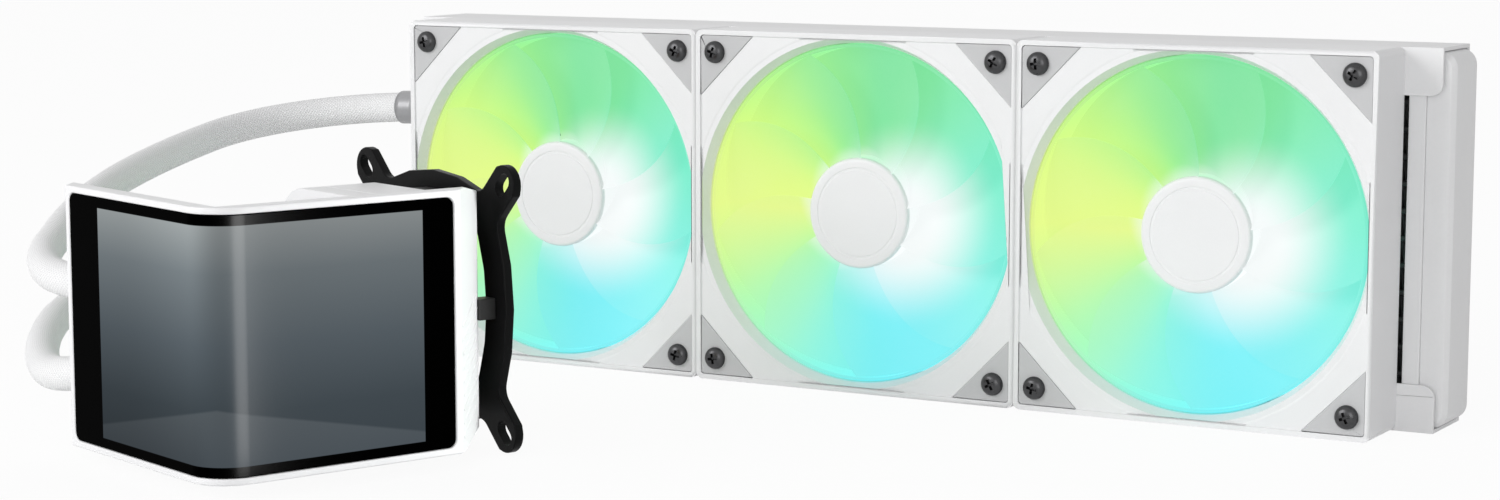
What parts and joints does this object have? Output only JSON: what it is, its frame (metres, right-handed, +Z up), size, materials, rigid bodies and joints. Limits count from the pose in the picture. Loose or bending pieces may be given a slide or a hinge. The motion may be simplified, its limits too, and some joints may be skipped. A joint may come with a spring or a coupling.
{
  "type": "liquid cooling radiator",
  "caption": "Closed-loop liquid cooler: a long finned radiator behind a row of square fans, joined by two hoses to a pump block with a wrap-around display.",
  "frame": {"origin": "middle of the footprint, on the surface that the radiator and the bracket stand on", "axes": "+X along the row of fans to the right as seen from the front, +Y from the fans to the radiator, +Z up"},
  "size_m": [0.4628, 0.2965, 0.12],
  "materials": {
    "white_plastic": "satin",
    "white_paint": "satin",
    "core_metal": "satin",
    "port_metal": "satin",
    "collar_metal": "satin",
    "hose_sleeve": "woven",
    "black_glass": "polished",
    "screen": "gloss",
    "board": "satin",
    "black_plastic": "matt",
    "black_metal": "satin",
    "copper_winding": "satin",
    "copper_plate": "polished",
    "impeller_plastic": "satin",
    "shaft_ceramic": "polished",
    "shaft_steel": "polished",
    "seal_rubber": "matt",
    "pad_rubber": "matt",
    "screw_steel": "satin",
    "dark_screw": "satin",
    "rotor_plastic": "frosted",
    "magnet": "satin",
    "bearing_brass": "satin"
  },
  "bodies": {
    "cooler": {"top_rail": "white_paint", "bottom_rail": "white_paint", "core_tubes": "core_metal", "core_fins": "core_metal", "left_header": "white_paint", "right_header": "white_paint", "left_tank": "white_paint", "right_tank": "white_paint", "upper_port": "port_metal", "lower_port": "port_metal", "radiator_collars": "collar_metal", "upper_hose": "hose_sleeve", "lower_hose": "hose_sleeve", "pump_collars": "collar_metal", "upper_elbow": "white_plastic", "lower_elbow": "white_plastic", "display_frame": "white_plastic", "display_glass": "black_glass", "display_panel": "screen", "display_board": "board", "display_back_cover": "white_plastic", "pump_cap": "white_plastic", "pump_housing": "white_plastic", "pump_base": "black_plastic", "pump_board": "board", "pump_stator": "copper_winding", "impeller_shaft": "shaft_ceramic", "cold_plate": "copper_plate", "cold_plate_seal": "seal_rubber", "cold_plate_screws": "screw_steel", "housing_screws": "screw_steel", "mounting_bracket": "black_metal", "fan_frame_1": "white_plastic", "fan_bearing_1": "bearing_brass", "fan_stator_1": "copper_winding", "fan_light_board_1": "board", "fan_pads_1": "pad_rubber", "fan_screws_1": "dark_screw", "fan_frame_2": "white_plastic", "fan_bearing_2": "bearing_brass", "fan_stator_2": "copper_winding", "fan_light_board_2": "board", "fan_pads_2": "pad_rubber", "fan_screws_2": "dark_screw", "fan_frame_3": "white_plastic", "fan_bearing_3": "bearing_brass", "fan_stator_3": "copper_winding", "fan_light_board_3": "board", "fan_pads_3": "pad_rubber", "fan_screws_3": "dark_screw"},
    "fan_1_rotor": {"fan_rotor_1": "rotor_plastic", "fan_shaft_1": "shaft_steel", "fan_magnet_1": "magnet"},
    "fan_2_rotor": {"fan_rotor_2": "rotor_plastic", "fan_shaft_2": "shaft_steel", "fan_magnet_2": "magnet"},
    "fan_3_rotor": {"fan_rotor_3": "rotor_plastic", "fan_shaft_3": "shaft_steel", "fan_magnet_3": "magnet"},
    "pump_rotor": {"impeller": "impeller_plastic"}
  },
  "joints": [
    {"name": "fan_1_spin", "type": "hinge", "parent": "cooler", "child": "fan_1_rotor", "pos_m": [-0.116, 0.108, 0.06], "axis": [0, -1, 0], "continuous": true},
    {"name": "fan_2_spin", "type": "hinge", "parent": "cooler", "child": "fan_2_rotor", "pos_m": [0.004, 0.108, 0.06], "axis": [0, -1, 0], "continuous": true},
    {"name": "fan_3_spin", "type": "hinge", "parent": "cooler", "child": "fan_3_rotor", "pos_m": [0.124, 0.108, 0.06], "axis": [0, -1, 0], "continuous": true},
    {"name": "pump_spin", "type": "hinge", "parent": "cooler", "child": "pump_rotor", "pos_m": [-0.07784, -0.05203, 0.0435], "axis": [0.3518, 0.9361, 0], "continuous": true}
  ]
}
